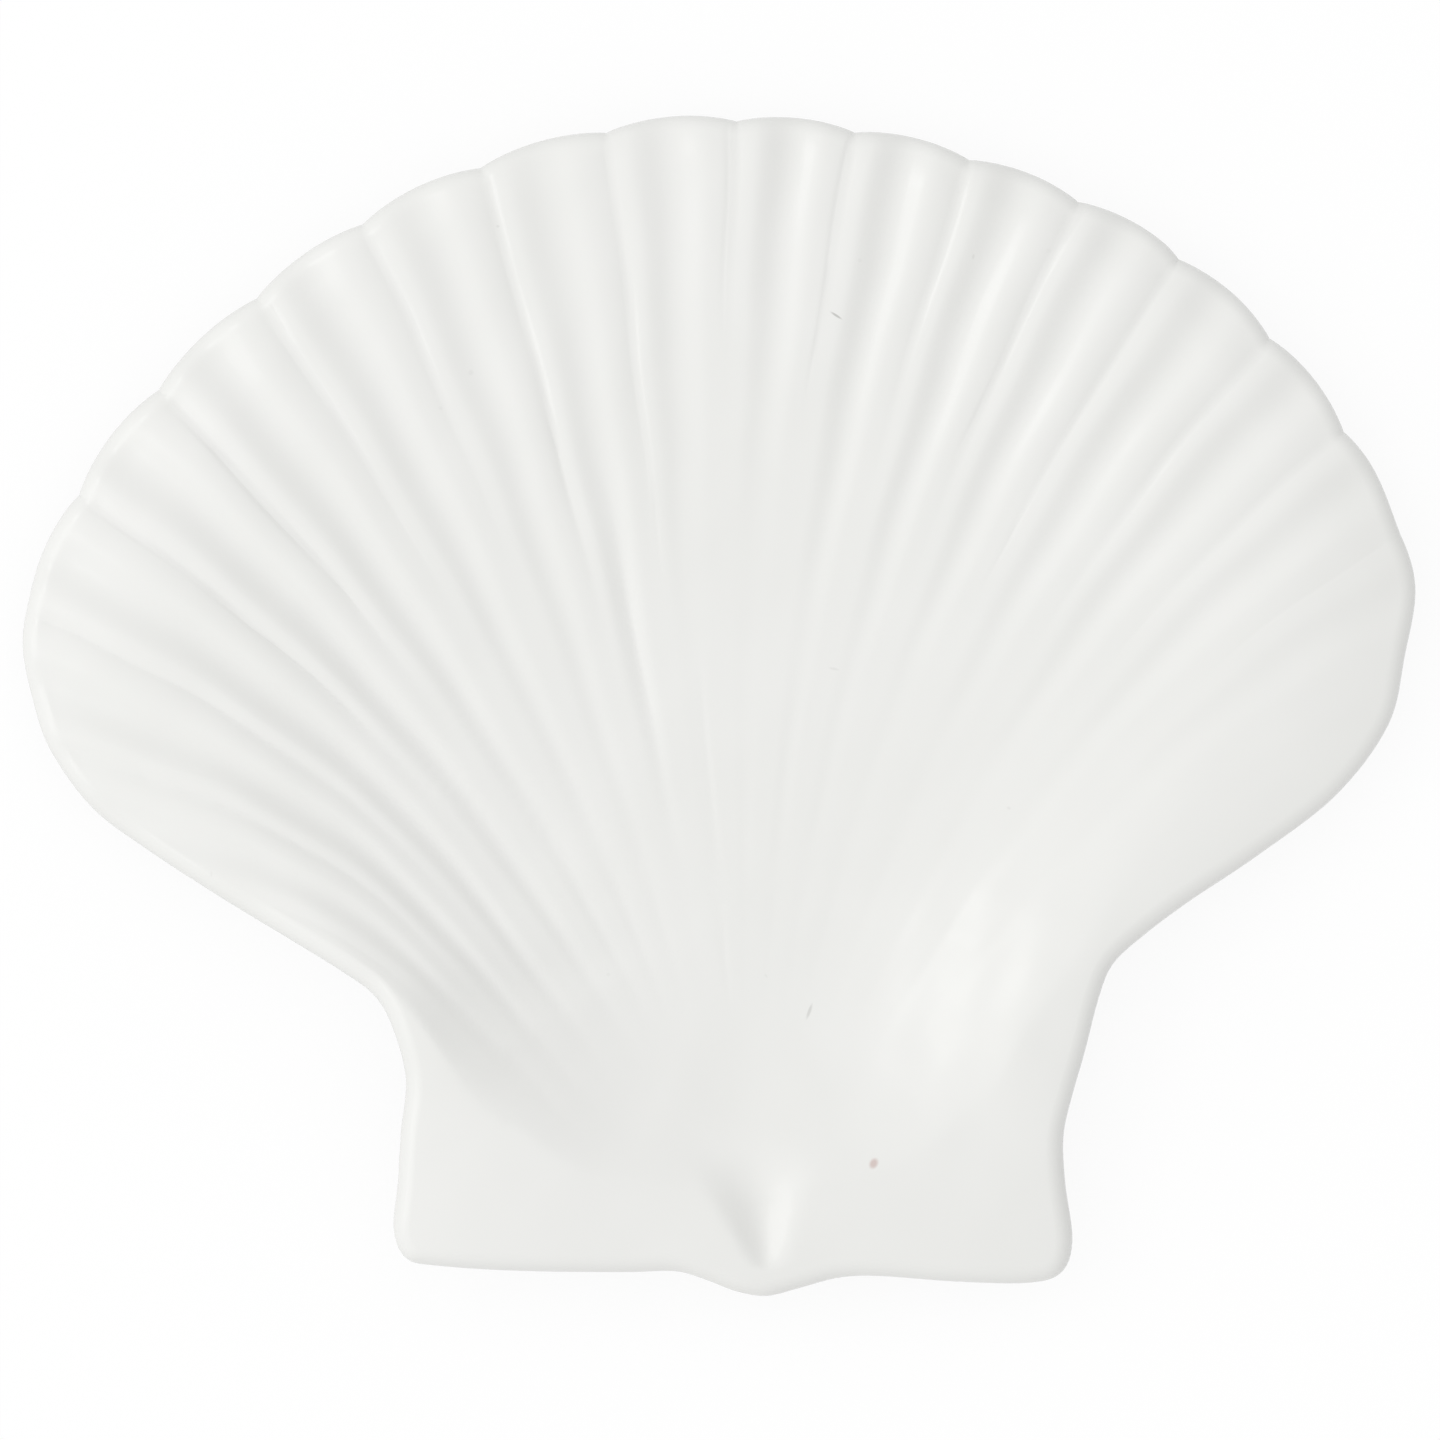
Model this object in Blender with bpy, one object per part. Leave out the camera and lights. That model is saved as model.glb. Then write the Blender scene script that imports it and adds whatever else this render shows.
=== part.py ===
"""Scallop shell platter: one pressed and glazed ceramic piece that stands on a low oval foot.

The upper face is a height over the plan. A dish rises from a flat floor to a rounded crest and
rolls down to the edge, flutes spring from the beak and cut into it, and a hollow runs out
through the beak. The wall under it is one thickness thick, with a round edge.
Lengths are in millimetres until the mesh is made. In plan +Y points to the fan edge, and the
hinge side with its two ears is at -Y. Bearings are in degrees round the dish centre, 0 towards
the fan edge and positive to the left.
"""
import bmesh
import bpy
import numpy as np

METRES_PER_MM = 0.001

# Plan
DISH_CENTRE_X = 5.2
DISH_CENTRE_Y = -42.5
FAN_RADIUS = 167.7
FAN_LEFT_BEARING = 60.0
FAN_RIGHT_BEARING = -33.0
LOBE_RISE = 1.6
LOBE_ROUNDNESS = 0.8
LOBE_FADE = 0.8

# Edge from the left end of the fan arc, round shoulder, ear, hinge, beak, ear and shoulder
LEFT_EDGE = (
    (-146.9, 26.9), (-149.7, 13.0), (-147.1, -1.2), (-143.1, -11.4), (-134.4, -23.0),
    (-122.3, -32.0), (-105.1, -43.0), (-91.4, -51.2), (-80.9, -57.6), (-73.8, -62.8),
    (-69.9, -69.5), (-67.0, -80.5), (-68.1, -92.0), (-68.8, -103.0), (-69.7, -113.0),
    (-67.0, -119.2), (-60.0, -120.8), (-42.0, -121.9), (-20.0, -122.2), (-9.5, -122.0))
BEAK_EDGE = ((-3.0, -123.8), (3.4, -126.3), (10.2, -127.4), (17.9, -125.5), (25.5, -123.5))
RIGHT_EDGE = (
    (34.0, -123.1), (50.2, -124.3), (66.0, -124.7), (73.4, -122.5), (75.8, -115.5),
    (74.2, -103.0), (73.8, -93.0), (75.7, -84.3), (78.3, -75.2), (81.4, -63.1),
    (84.4, -56.1), (91.0, -50.0), (100.7, -42.8), (115.2, -33.2), (132.3, -20.2),
    (143.7, -5.1), (147.3, 9.8), (149.6, 25.0), (145.5, 38.3), (138.8, 51.9), (130.7, 64.2),
    (121.3, 75.8), (110.3, 86.7))
# Small departures of the fan edge from its arc, by bearing
FAN_OFFSETS = (
    (-44.0, -0.4), (-34.0, -0.4), (-25.0, -0.8), (-15.0, -0.9), (-5.0, -0.3), (5.0, 0.4),
    (15.0, 0.1), (25.0, -0.2), (35.0, -0.8), (45.0, -0.7), (55.0, 0.1), (70.0, 0.0))

# Sections of the dish: bearing, reach of the floor, distance of the crest from the softened edge,
# rise of the crest over the floor, power with which the climb starts, power with which it ends at
# the crest (the lower, the sharper), and radius at which the face rolls down beyond the crest
DISH_SECTIONS = (
    (0.0, 12.0, 10.0, 9.0, 1.7, 2.0, 27.0),
    (32.0, 16.0, 12.5, 9.0, 1.7, 2.0, 41.0),
    (58.0, 28.0, 22.0, 9.0, 1.8, 2.0, 98.0),
    (71.0, 38.0, 28.0, 8.7, 1.8, 2.0, 167.0),
    (80.0, 36.0, 28.0, 9.7, 2.0, 2.0, 167.0),
    (89.0, 30.0, 22.5, 12.0, 2.2, 1.8, 90.0),
    (98.0, 22.0, 16.0, 15.5, 2.4, 1.5, 40.0),
    (111.0, 18.0, 14.0, 17.5, 2.8, 1.1, 40.0),
    (124.0, 15.0, 19.5, 17.0, 2.4, 1.3, 90.0),
    (140.0, 15.0, 26.0, 16.0, 2.2, 1.4, 200.0),
    (158.0, 15.0, 23.0, 14.0, 2.0, 1.5, 110.0),
    (-180.0, 16.0, 19.0, 12.5, 1.9, 1.6, 90.0),
    (-158.0, 16.0, 26.0, 12.0, 1.9, 1.6, 110.0),
    (-138.0, 16.0, 27.0, 12.0, 2.0, 1.6, 190.0),
    (-122.0, 16.0, 20.0, 13.0, 2.1, 1.6, 70.0),
    (-108.0, 16.0, 14.5, 14.0, 2.2, 1.6, 40.0),
    (-98.0, 16.0, 18.5, 13.8, 2.1, 1.7, 35.0),
    (-86.0, 18.0, 28.0, 11.7, 2.0, 1.8, 110.0),
    (-76.0, 20.0, 31.0, 9.9, 1.8, 1.9, 170.0),
    (-67.0, 20.0, 27.0, 9.3, 1.7, 2.0, 150.0),
    (-57.0, 20.0, 21.0, 9.2, 1.7, 2.0, 100.0),
    (-38.0, 14.0, 13.0, 9.0, 1.7, 2.0, 42.0),
    (-18.0, 12.0, 10.5, 9.0, 1.7, 2.0, 27.0))
# Bearing to either side over which the edge is averaged for the crest
SOFTENING = 18.0

# Wall, its round edge and the foot
WALL = 5.5
EDGE_TOP_RADIUS = 4.2
FOOT_HEIGHT = 2.5
FOOT_WIDTH = 5.0
FOOT_DRAFT = 1.0
FOOT_HALF_LENGTH = 52.0
FOOT_HALF_WIDTH = 46.0
FOOT_FORWARD = 20.0

# Flutes, which spring from the beak tip on both sides of a bent middle line. They are numbered
# from the middle line, left of it positive: a groove at each whole number, a lobe between.
BEAK_TIP_Y = -120.2
FLUTE_REACH = 246.6
MIDDLE_LINE = ((-160.0, 14.0), (BEAK_TIP_Y, 9.9), (-64.0, 2.3), (0.0, -0.7), (60.0, 1.6),
               (126.0, 3.8), (160.0, 4.2))
PITCH_LEFT = 6.6
PITCH_RIGHT = 6.0
SPREAD_LOSS_LEFT = 0.4
SPREAD_LOSS_RIGHT = 0.38
LOBES_PER_SIDE = 8
# Outer flutes splay out at low reach: the number from which they do, how much wider they then
# stand, the reach at which this begins and the run over which it comes
SPLAY_LEFT = (5.2, 0.65, 0.6, 0.3)
SPLAY_RIGHT = (3.5, 0.13, 1.0, 0.42)
# Depth of the channel in the middle of each lobe, and its place and width as shares of the lobe
CHANNEL_DEPTHS = (
    (-8.5, 0.0), (-7.5, 0.5), (-6.5, 1.0), (-5.5, 1.4), (-4.5, 1.6), (-3.5, 1.85), (-2.5, 2.05),
    (-1.5, 2.4), (-0.5, 2.1), (0.5, 1.65), (1.5, 1.0), (2.5, 1.35), (3.5, 1.55), (4.5, 1.8),
    (5.5, 1.8), (6.5, 1.45), (7.5, 1.1), (8.5, 0.7), (9.4, 0.0))
CHANNEL_PLACE = 0.53
CHANNEL_SHARE = 0.61
# Depth of the grooves
GROOVE_DEPTHS = (
    (-8.5, 0.0), (-7.0, 0.4), (-6.0, 0.75), (-5.0, 0.85), (-4.0, 0.9), (-3.0, 1.0), (-2.0, 1.0),
    (0.0, 0.95), (1.0, 0.7), (2.0, 0.9), (4.0, 1.0), (5.0, 1.3), (6.0, 1.15), (8.0, 0.8),
    (9.4, 0.0))
GROOVE_SHARE = 0.2
# Shares of the reach from which the flutes begin and at which they are whole
FLUTE_FADES = (
    (-8.0, 0.45, 0.9), (-5.0, 0.5, 0.85), (-2.5, 0.52, 0.9), (-1.5, 0.5, 0.95),
    (-0.5, 0.6, 1.05), (0.5, 0.55, 1.05), (1.5, 0.36, 0.62), (2.5, 0.45, 0.95),
    (3.5, 0.42, 0.95), (4.5, 0.45, 0.9), (6.0, 0.45, 0.85), (9.0, 0.45, 0.8))
# Softening of the flutes along the edge
MARGIN_RUN = 7.0
MARGIN_GROOVE = 0.35
MARGIN_CHANNEL = 0.75

# Hollow that runs out through the beak
HOLLOW_DEPTH = 3.7
HOLLOW_RUN = 5.0
HOLLOW_FLARE = 0.5
HOLLOW_TIP_HALF = 3.0
HOLLOW_MOUTH = 1.5
HOLLOW_MERGE = (12.0, 30.0)

# Fineness of the faces, and the shares of a spoke over which it bends to follow the flutes
STEPS_IN_LOBE = (0.0, 0.22, 0.37, 0.53, 0.69, 0.84)
REST_STEPS = 56
TURN_WEIGHT = 14.0
TABLE_STEPS = 40
SOFTENING_STEPS = 9
SLOPE_STEP = 0.5
SHARP_ANGLE = 50.0
TOP_TURNS = (30.0, 60.0, 90.0)
UNDER_TURNS = (135.0, 180.0)
TOP_ROWS = (0.09, 0.18, 0.26, 0.33, 0.4, 0.46, 0.52, 0.58, 0.64, 0.7, 0.755, 0.81, 0.86,
            0.905, 0.945, 0.977, 1.0)
FOLLOW_START = 0.15
FOLLOW_RUN = 0.6
UNDER_ROWS = (0.14, 0.28, 0.42, 0.56, 0.7, 0.85)
INNER_ROWS = (0.66, 0.33)

GLAZE_COLOUR = (0.86, 0.865, 0.845, 1.0)
GLAZE_ROUGHNESS = 0.22


def smooth_step(u):
    """Ease from 0 to 1 with a level start and end."""
    u = np.clip(u, 0.0, 1.0)
    return u * u * (3.0 - 2.0 * u)


def curve_through(points, steps):
    """Cubic curve through points, with each tangent parallel to its neighbours' chord."""
    points = np.asarray(points, float)
    tangents = np.gradient(points, axis=0)
    t = (np.arange(steps) / steps)[None, :, None]
    start, end = points[:-1, None], points[1:, None]
    leave, arrive = tangents[:-1, None], tangents[1:, None]
    rise = t * t * (3.0 - 2.0 * t)
    dense = (1.0 - rise) * start + rise * end
    dense += t * (1.0 - t) ** 2 * leave - t * t * (1.0 - t) * arrive
    return np.vstack([dense.reshape(-1, points.shape[1]), points[-1:]])


def value_along(stations, x):
    """Smooth values at x from a list of stations, each a place followed by its values."""
    dense = curve_through(stations, TABLE_STEPS)
    values = [np.interp(x, dense[:, 0], column) for column in dense[:, 1:].T]
    return values[0] if len(values) == 1 else values


def polar(x, y):
    """Bearing and reach of a plan point from the dish centre."""
    across = x - DISH_CENTRE_X
    ahead = y - DISH_CENTRE_Y
    return np.degrees(np.arctan2(-across, ahead)), np.hypot(across, ahead)


def plan_point(bearing, reach):
    """Plan point at a bearing and reach from the dish centre."""
    angle = np.radians(bearing)
    return DISH_CENTRE_X - reach * np.sin(angle), DISH_CENTRE_Y + reach * np.cos(angle)


def edge_table():
    """Bearings and reaches all round the edge, without the lobes, as two rising arrays."""
    arc = np.linspace(FAN_RIGHT_BEARING, FAN_LEFT_BEARING, 3 * TABLE_STEPS)
    fan = np.column_stack(plan_point(arc, FAN_RADIUS + value_along(FAN_OFFSETS, arc)))
    edge = np.vstack([fan[-2:], LEFT_EDGE, BEAK_EDGE, RIGHT_EDGE, fan[:2]])
    rest = curve_through(edge, TABLE_STEPS)[TABLE_STEPS:-TABLE_STEPS]
    bearing, reach = polar(*np.vstack([fan, rest]).T)
    order = np.argsort(bearing)
    return bearing[order], reach[order]


EDGE_BEARINGS, EDGE_REACHES = edge_table()


def plain_edge(bearing):
    """Reach of the edge at a bearing, without the lobes."""
    return np.interp(bearing, EDGE_BEARINGS, EDGE_REACHES, period=360.0)


def soft_edge(bearing):
    """Reach of the edge averaged over a few degrees, which the crest follows."""
    offsets = np.linspace(-SOFTENING, SOFTENING, SOFTENING_STEPS)
    return sum(plain_edge(bearing + offset) for offset in offsets) / len(offsets)


def flute_spread(angle, reach):
    """Angle between flutes at a reach: it shrinks towards the beak."""
    left = angle > 0.0
    loss = np.where(left, SPREAD_LOSS_LEFT, SPREAD_LOSS_RIGHT)
    return np.where(left, PITCH_LEFT, PITCH_RIGHT) * (1.0 - loss * (1.0 - reach))


def splay(number, reach):
    """Number beyond which the flutes of a side splay out, and how many times wider they stand."""
    sides = zip(SPLAY_LEFT, SPLAY_RIGHT)
    start, gain, begins, run = (np.where(number > 0.0, left, right) for left, right in sides)
    return start, 1.0 + gain * np.square(np.clip(begins - reach, 0.0, None) / run)


def flute_length(angle):
    """Full reach at an angle off the middle line."""
    return FLUTE_REACH * np.sqrt(np.clip(np.cos(angle), 0.1, 1.0))


def flute_place(x, y):
    """Flute number and share of the full reach at a plan point.

    The number is the angle at the beak tip, off the middle line, over the spread there.
    """
    ahead = y - BEAK_TIP_Y
    across = x - value_along(MIDDLE_LINE, y)
    angle = np.arctan2(-across, ahead)
    reach = np.hypot(across, ahead) / flute_length(angle)
    splayed = np.degrees(angle) / flute_spread(angle, reach)
    start, wider = splay(splayed, reach)
    beyond = np.clip(np.abs(splayed) - start, 0.0, None)
    return splayed - np.sign(splayed) * beyond * (1.0 - 1.0 / wider), reach


def flute_point(number, reach):
    """Plan point on a flute line: the reverse of flute_place."""
    start, wider = splay(number, reach)
    beyond = np.clip(np.abs(number) - start, 0.0, None)
    splayed = number + np.sign(number) * beyond * (wider - 1.0)
    angle = np.radians(splayed * flute_spread(number, reach))
    distance = reach * flute_length(angle)
    y = BEAK_TIP_Y + distance * np.cos(angle)
    return value_along(MIDDLE_LINE, y) - distance * np.sin(angle), y


def flute_depth(x, y):
    """Depth of the flutes: in each lobe a broad channel, between lobes a narrow groove."""
    number, reach = flute_place(x, y)
    part = number - np.floor(number)
    off_middle = np.clip(np.abs(part - CHANNEL_PLACE) / CHANNEL_SHARE, 0.0, 0.5)
    channel = 0.5 + 0.5 * np.cos(2.0 * np.pi * off_middle)
    groove = np.clip(1.0 - np.minimum(part, 1.0 - part) / GROOVE_SHARE, 0.0, 1.0) ** 2
    begins, whole = (np.interp(number, *np.transpose(FLUTE_FADES)[[0, i]]) for i in (1, 2))
    near = smooth_step((reach - begins) / (whole - begins))
    bearing, dish_reach = polar(x, y)
    inside = smooth_step((plain_edge(bearing) - dish_reach) / MARGIN_RUN)
    channel *= np.interp(number, *np.transpose(CHANNEL_DEPTHS)) * near
    channel *= MARGIN_CHANNEL + (1.0 - MARGIN_CHANNEL) * inside
    groove *= np.interp(number, *np.transpose(GROOVE_DEPTHS)) * near ** 3
    groove *= MARGIN_GROOVE + (1.0 - MARGIN_GROOVE) * inside
    return channel + groove


def hollow_depth(x, y):
    """Depth of the hollow in the beak, whose width and depth grow from the tip inwards."""
    ahead = np.clip(y - BEAK_TIP_Y + HOLLOW_MOUTH, 0.0, None)
    half_width = HOLLOW_TIP_HALF + HOLLOW_FLARE * ahead
    across = np.clip(np.abs(x - value_along(MIDDLE_LINE, y)) / half_width, 0.0, 1.0)
    depth = HOLLOW_DEPTH * (1.0 - np.exp(-ahead / HOLLOW_RUN))
    start, end = HOLLOW_MERGE
    merge = 1.0 - smooth_step((ahead - start) / (end - start))
    return depth * merge * (0.5 + 0.5 * np.cos(np.pi * across))


def dish_height(x, y):
    """Height of the dish over the table, without flutes."""
    bearing, reach = polar(x, y)
    rows = sorted(DISH_SECTIONS)
    before = [(row[0] - 360.0,) + row[1:] for row in rows[-3:]]
    after = [(row[0] + 360.0,) + row[1:] for row in rows[:3]]
    floor, setback, rise, starts, ends, roll = value_along(before + rows + after, bearing)
    crest = soft_edge(bearing) - setback
    way = np.clip((reach - floor) / (crest - floor), 0.0, 1.0)
    climb = 1.0 - (1.0 - way ** starts) ** ends
    beyond = np.clip(reach - crest, 0.0, None)
    top = FOOT_HEIGHT + WALL + rise * climb - beyond ** 2 / (2.0 * roll)
    return top - hollow_depth(x, y)


def slopes(x, y):
    """Slopes of the dish along X and Y."""
    step = SLOPE_STEP
    along_x = (dish_height(x + step, y) - dish_height(x - step, y)) / (2.0 * step)
    along_y = (dish_height(x, y + step) - dish_height(x, y - step)) / (2.0 * step)
    return along_x, along_y


def under_height(x, y):
    """Height of the underside: one wall below the dish, measured square to it."""
    along_x, along_y = slopes(x, y)
    return dish_height(x, y) - WALL * np.sqrt(1.0 + along_x ** 2 + along_y ** 2)


def lobed_edge(bearing):
    """Plan points of the edge, with a lobe bulging between each two grooves."""
    reach = plain_edge(bearing)
    number, _ = flute_place(*plan_point(bearing, reach))
    on_fan = smooth_step(LOBES_PER_SIDE - LOBE_FADE - np.abs(number))
    lobe = np.abs(np.sin(np.pi * number)) ** LOBE_ROUNDNESS
    return plan_point(bearing, reach + LOBE_RISE * on_fan * (lobe - 0.5))


def spoke_bearings():
    """Bearings of the spokes: fixed steps in each lobe, then even steps round the rest."""
    bearing = np.linspace(-100.0, 100.0, 2001)
    number, _ = flute_place(*plan_point(bearing, plain_edge(bearing)))
    wanted = np.add.outer(np.arange(-LOBES_PER_SIDE, LOBES_PER_SIDE), STEPS_IN_LOBE).ravel()
    wanted = np.append(wanted, LOBES_PER_SIDE)
    fan = np.interp(wanted, number, bearing)
    rest = np.linspace(fan[-1], fan[0] + 360.0, 2001)
    x, y = plan_point(rest, plain_edge(rest))
    heading = np.unwrap(np.arctan2(np.diff(y), np.diff(x)))
    turning = np.abs(np.diff(heading, prepend=heading[0]))
    length = np.hypot(np.diff(x), np.diff(y)) + TURN_WEIGHT * turning
    along = np.append(0.0, np.cumsum(length))
    even = np.linspace(0.0, along[-1], REST_STEPS + 1)[1:-1]
    return np.append(fan, np.interp(even, along, rest))


def edge_frame(bearing):
    """Outward direction in plan, and outward and upward parts of the surface normal, at the edge."""
    x, y = lobed_edge(bearing)
    ahead_x, ahead_y = np.roll(x, -1) - np.roll(x, 1), np.roll(y, -1) - np.roll(y, 1)
    length = np.hypot(ahead_x, ahead_y)
    out_x, out_y = ahead_y / length, -ahead_x / length
    along_x, along_y = slopes(x, y)
    fall = -(along_x * out_x + along_y * out_y)
    size = np.sqrt(1.0 + fall ** 2)
    return x, y, out_x, out_y, fall / size, 1.0 / size


def top_rows(bearing, rim_x, rim_y):
    """Rows of the upper face from the dish centre out, on spokes that bend to the flutes."""
    number, reach = flute_place(rim_x, rim_y)
    _, centre_reach = flute_place(np.array(DISH_CENTRE_X), np.array(DISH_CENTRE_Y))
    on_fan = smooth_step((LOBES_PER_SIDE + 0.5 - np.abs(number)) / 2.0)
    rows = []
    for share in TOP_ROWS:
        straight_x = DISH_CENTRE_X + share * (rim_x - DISH_CENTRE_X)
        straight_y = DISH_CENTRE_Y + share * (rim_y - DISH_CENTRE_Y)
        along = centre_reach + (reach - centre_reach) * share
        flute_x, flute_y = flute_point(number, along)
        follow = on_fan * smooth_step((share - FOLLOW_START) / FOLLOW_RUN)
        x = straight_x + follow * (flute_x - straight_x)
        y = straight_y + follow * (flute_y - straight_y)
        rows.append(np.column_stack([x, y, dish_height(x, y) - flute_depth(x, y)]))
    return rows


def round_profile(out, up):
    """Outward and upward offsets from the upper face's edge, in two quarter turns.

    The first, of the larger radius, starts along the surface normal; the second ends on the
    underside, one wall below. Each row is one turn from the normal.
    """
    under_radius = WALL - EDGE_TOP_RADIUS
    offsets = []
    for turn in TOP_TURNS + UNDER_TURNS:
        angle = np.radians(turn)
        first = turn <= 90.0
        radius = EDGE_TOP_RADIUS if first else under_radius
        shift = 0.0 if first else EDGE_TOP_RADIUS - under_radius
        along = radius * np.sin(angle) + shift
        back = EDGE_TOP_RADIUS - radius * np.cos(angle)
        offsets.append((along * up - back * out, -along * out - back * up))
    return np.array(offsets).transpose(1, 0, 2)


def round_rows(rim, flutes, out_x, out_y, outward, upward):
    """Rows round the edge, with the flutes dying out on the way down."""
    rows = []
    for turn, sideways, rise in zip(TOP_TURNS + UNDER_TURNS, outward, upward):
        row = rim + np.column_stack([sideways * out_x, sideways * out_y, rise])
        row[:, 2] -= flutes * (0.5 + 0.5 * np.cos(np.radians(turn)))
        rows.append(row)
    return rows


def foot_oval(bearing, inset):
    """Plan points of the foot's oval, drawn in by an inset."""
    angle = np.radians(bearing)
    x = DISH_CENTRE_X - (FOOT_HALF_WIDTH - inset) * np.sin(angle)
    y = DISH_CENTRE_Y + FOOT_FORWARD + (FOOT_HALF_LENGTH - inset) * np.cos(angle)
    return x, y


def underside_rows(bearing, last):
    """Rows of the underside from the edge in to the foot, round it and on to the centre."""
    foot_x, foot_y = foot_oval(bearing, 0.0)
    rows = []
    for share in UNDER_ROWS + (1.0,):
        x = last[:, 0] + share * (foot_x - last[:, 0])
        y = last[:, 1] + share * (foot_y - last[:, 1])
        rows.append(np.column_stack([x, y, under_height(x, y)]))
    for inset in (FOOT_DRAFT, FOOT_WIDTH - FOOT_DRAFT):
        x, y = foot_oval(bearing, inset)
        rows.append(np.column_stack([x, y, np.zeros_like(x)]))
    inner_x, inner_y = foot_oval(bearing, FOOT_WIDTH)
    middle_y = DISH_CENTRE_Y + FOOT_FORWARD
    for share in (1.0,) + INNER_ROWS:
        x = DISH_CENTRE_X + share * (inner_x - DISH_CENTRE_X)
        y = middle_y + share * (inner_y - middle_y)
        rows.append(np.column_stack([x, y, under_height(x, y)]))
    return rows


def platter_rows():
    """All rows of points, from just off the centre of the upper face to that of the underside."""
    bearing = spoke_bearings()
    edge_x, edge_y, out_x, out_y, out, up = edge_frame(bearing)
    outward, upward = round_profile(out, up)
    inset = outward.max(axis=0)
    rim_x, rim_y = edge_x - inset * out_x, edge_y - inset * out_y
    rows = top_rows(bearing, rim_x, rim_y)
    flutes = flute_depth(rim_x, rim_y)
    rim = rows[-1] + np.column_stack([0.0 * flutes, 0.0 * flutes, flutes])
    rows += round_rows(rim, flutes, out_x, out_y, outward, upward)
    return rows + underside_rows(bearing, rows[-1])


def platter_points():
    """Points of the platter in metres, centred on its outline, and the number in each row."""
    rows = platter_rows()
    centre = np.array([DISH_CENTRE_X, DISH_CENTRE_Y])
    below = centre + (0.0, FOOT_FORWARD)
    top = np.append(centre, dish_height(*centre))
    bottom = np.append(below, under_height(*below))
    points = np.vstack(rows + [top, bottom])
    plan = points[:, :2]
    plan -= (plan.min(axis=0) + plan.max(axis=0)) / 2.0
    return points * METRES_PER_MM, len(rows[0])


def make_glaze():
    """Warm white glaze."""
    material = bpy.data.materials.new("white_glaze")
    material.use_nodes = True
    shader = material.node_tree.nodes["Principled BSDF"]
    shader.inputs["Base Color"].default_value = GLAZE_COLOUR
    shader.inputs["Roughness"].default_value = GLAZE_ROUGHNESS
    shader.inputs["Metallic"].default_value = 0.0
    return material


def make_platter():
    """The platter as one closed mesh: faces between each two rows, and a fan at each centre."""
    points, count = platter_points()
    shape = bmesh.new()
    verts = [shape.verts.new(point) for point in points]
    top, bottom = verts[-2:]
    rings = [verts[start:start + count] for start in range(0, len(verts) - 2, count)]
    for j in range(count):
        after = (j + 1) % count
        shape.faces.new((top, rings[0][j], rings[0][after]))
        for inner, outer in zip(rings, rings[1:]):
            shape.faces.new((inner[j], outer[j], outer[after], inner[after]))
        shape.faces.new((bottom, rings[-1][after], rings[-1][j]))
    mesh = bpy.data.meshes.new("platter")
    shape.to_mesh(mesh)
    shape.free()
    mesh.shade_smooth()
    mesh.set_sharp_from_angle(angle=np.radians(SHARP_ANGLE))
    mesh.materials.append(make_glaze())
    platter = bpy.data.objects.new("platter", mesh)
    bpy.context.scene.collection.objects.link(platter)
    return platter


for old in list(bpy.data.objects):
    bpy.data.objects.remove(old, do_unlink=True)
make_platter()
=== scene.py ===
"""Looks of the scallop shell platter: a glazed dish in soft studio light.

The file is laid out as an add-on and is run as a script. The shell is a height over its plan,
worked out in millimetres on rings round the dish centre and turned into metres at the end.
+Y points to the fan edge, the hinge side with its two ears is at -Y. Bearings are in degrees
round the dish centre, 0 towards the fan edge and positive to the left.
"""

import bpy
import numpy as np
from bpy.props import FloatProperty, FloatVectorProperty, PointerProperty
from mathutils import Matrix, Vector


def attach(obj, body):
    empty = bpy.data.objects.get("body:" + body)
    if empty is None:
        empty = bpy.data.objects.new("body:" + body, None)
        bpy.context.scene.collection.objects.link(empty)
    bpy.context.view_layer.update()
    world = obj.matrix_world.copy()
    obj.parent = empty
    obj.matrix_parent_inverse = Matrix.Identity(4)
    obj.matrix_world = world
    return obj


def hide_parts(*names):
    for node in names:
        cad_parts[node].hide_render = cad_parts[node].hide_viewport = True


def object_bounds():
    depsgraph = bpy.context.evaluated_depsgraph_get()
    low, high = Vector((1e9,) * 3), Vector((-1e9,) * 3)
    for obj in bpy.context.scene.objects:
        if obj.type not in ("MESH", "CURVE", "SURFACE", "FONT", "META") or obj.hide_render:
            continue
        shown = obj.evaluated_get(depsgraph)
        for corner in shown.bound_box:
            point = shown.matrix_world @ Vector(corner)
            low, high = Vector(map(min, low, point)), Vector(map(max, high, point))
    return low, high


bl_info = {
    "name": "Scallop shell platter",
    "version": (1, 0, 0),
    "blender": (4, 5, 0),
    "location": "3D View > Sidebar > Shell platter",
    "description": "Builds a glazed shell platter and a plain studio round it",
    "category": "Object",
}

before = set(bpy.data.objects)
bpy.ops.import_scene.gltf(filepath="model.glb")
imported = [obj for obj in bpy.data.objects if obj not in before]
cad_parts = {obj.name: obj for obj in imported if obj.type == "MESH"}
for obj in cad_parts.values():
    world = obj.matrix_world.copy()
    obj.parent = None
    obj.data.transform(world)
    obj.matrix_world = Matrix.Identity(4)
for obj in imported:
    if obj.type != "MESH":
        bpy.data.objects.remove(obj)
CAD_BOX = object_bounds()
MM = 0.001

# Plan of the edge, in millimetres
DISH_CENTRE = (5.2, -42.5)
FAN_LEFT_BEARING = 60.0
FAN_RIGHT_BEARING = -33.0
LOBE_ROUNDNESS = 0.8
LOBE_FADE = 0.8
LEFT_EDGE = (
    (-146.9, 26.9), (-149.7, 13.0), (-147.1, -1.2), (-143.1, -11.4), (-134.4, -23.0),
    (-122.3, -32.0), (-105.1, -43.0), (-91.4, -51.2), (-80.9, -57.6), (-73.8, -62.8),
    (-69.9, -69.5), (-67.0, -80.5), (-68.1, -92.0), (-68.8, -103.0), (-69.7, -113.0),
    (-67.0, -119.2), (-60.0, -120.8), (-42.0, -121.9), (-20.0, -122.2), (-9.5, -122.0))
BEAK_EDGE = ((-3.0, -123.8), (3.4, -126.3), (10.2, -127.4), (17.9, -125.5), (25.5, -123.5))
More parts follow.
